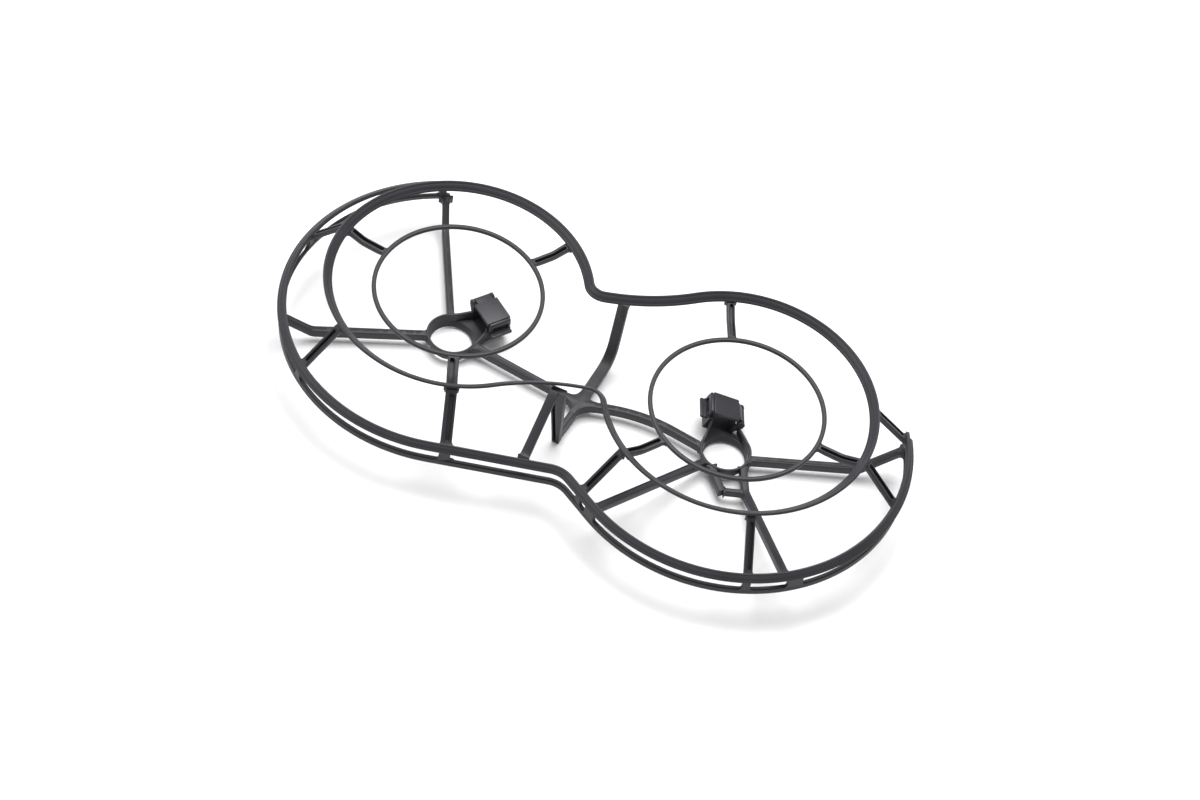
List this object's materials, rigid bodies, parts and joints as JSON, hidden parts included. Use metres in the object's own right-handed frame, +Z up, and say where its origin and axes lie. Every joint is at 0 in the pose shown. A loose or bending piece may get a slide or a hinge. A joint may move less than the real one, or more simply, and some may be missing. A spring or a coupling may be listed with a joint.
{
  "type": "drone propeller guard",
  "caption": "One side's full-circle propeller guard for a small folding camera drone: rings, figure-eight loop, bumper rim, motor cups and hinged arm buckles.",
  "frame": {"origin": "under the middle of the guard's outline, on the level surface its foot stands on", "axes": "+X from the rear propeller to the front one, +Y towards the aircraft's body, +Z up"},
  "size_m": [0.2768, 0.1422, 0.0419],
  "materials": {
    "cage": "satin moulded, charcoal grey",
    "buckle": "satin moulded, charcoal grey",
    "pin": "drawn wire"
  },
  "bodies": {
    "guard_frame": {"arm_bridge_front": "cage", "arm_bridge_rear": "cage", "arm_saddle_front": "cage", "arm_saddle_rear": "cage", "bracket_arm_left": "cage", "bracket_arm_right": "cage", "bracket_link": "cage", "centre_boss": "cage", "foot_bar": "cage", "hinge_pin_front": "pin", "hinge_pin_rear": "pin", "inner_ring_front": "cage", "inner_ring_rear": "cage", "inner_strut_front_far": "cage", "inner_strut_front_near": "cage", "inner_strut_front_right": "cage", "inner_strut_rear_far": "cage", "inner_strut_rear_left": "cage", "inner_strut_rear_near": "cage", "landing_leg": "cage", "loop_front": "cage", "loop_rear": "cage", "loop_waist_far": "cage", "loop_waist_near": "cage", "motor_cup_front": "cage", "motor_cup_rear": "cage", "outer_strut_front_end": "cage", "outer_strut_front_middle": "cage", "outer_strut_front_near": "cage", "outer_strut_front_right": "cage", "outer_strut_rear_corner": "cage", "outer_strut_rear_left": "cage", "outer_strut_rear_near": "cage", "rim_lower_front": "cage", "rim_lower_rear": "cage", "rim_lower_waist": "cage", "rim_post_front_left": "cage", "rim_post_front_middle": "cage", "rim_post_rear_end": "cage", "rim_upper_front": "cage", "rim_upper_rear": "cage", "rim_upper_waist": "cage", "spoke_front_centre": "cage", "spoke_front_link": "cage", "spoke_front_near_left": "cage", "spoke_front_near_right": "cage", "spoke_front_right": "cage", "spoke_front_rise": "cage", "spoke_rear_centre": "cage", "spoke_rear_far": "cage", "spoke_rear_left": "cage", "waist_strut_far": "cage", "waist_strut_near": "cage"},
    "cover_rear": {"buckle_cover_rear": "buckle"},
    "cover_front": {"buckle_cover_front": "buckle"},
    "latch_rear": {"buckle_latch_rear": "buckle"},
    "latch_front": {"buckle_latch_front": "buckle"}
  },
  "joints": [
    {"name": "cover_hinge_rear", "type": "hinge", "parent": "guard_frame", "child": "cover_rear", "pos_m": [-0.05976, 0.02531, 0.0124], "axis": [-0.5878, -0.809, 0], "range_deg": [0, 100]},
    {"name": "latch_flex_rear", "type": "hinge", "parent": "cover_rear", "child": "latch_rear", "pos_m": [-0.04807, 0.01682, 0.0143], "axis": [-0.5878, -0.809, 0], "range_deg": [0, 12], "stiffness_Nm_per_rad": 0.01},
    {"name": "cover_hinge_front", "type": "hinge", "parent": "guard_frame", "child": "cover_front", "pos_m": [0.06053, 0.02479, 0.00835], "axis": [-0.3907, 0.9205, 0], "range_deg": [0, 100]},
    {"name": "latch_flex_front", "type": "hinge", "parent": "cover_front", "child": "latch_front", "pos_m": [0.04913, 0.01995, 0.01659], "axis": [-0.3907, 0.9205, 0], "range_deg": [0, 12], "stiffness_Nm_per_rad": 0.01}
  ]
}
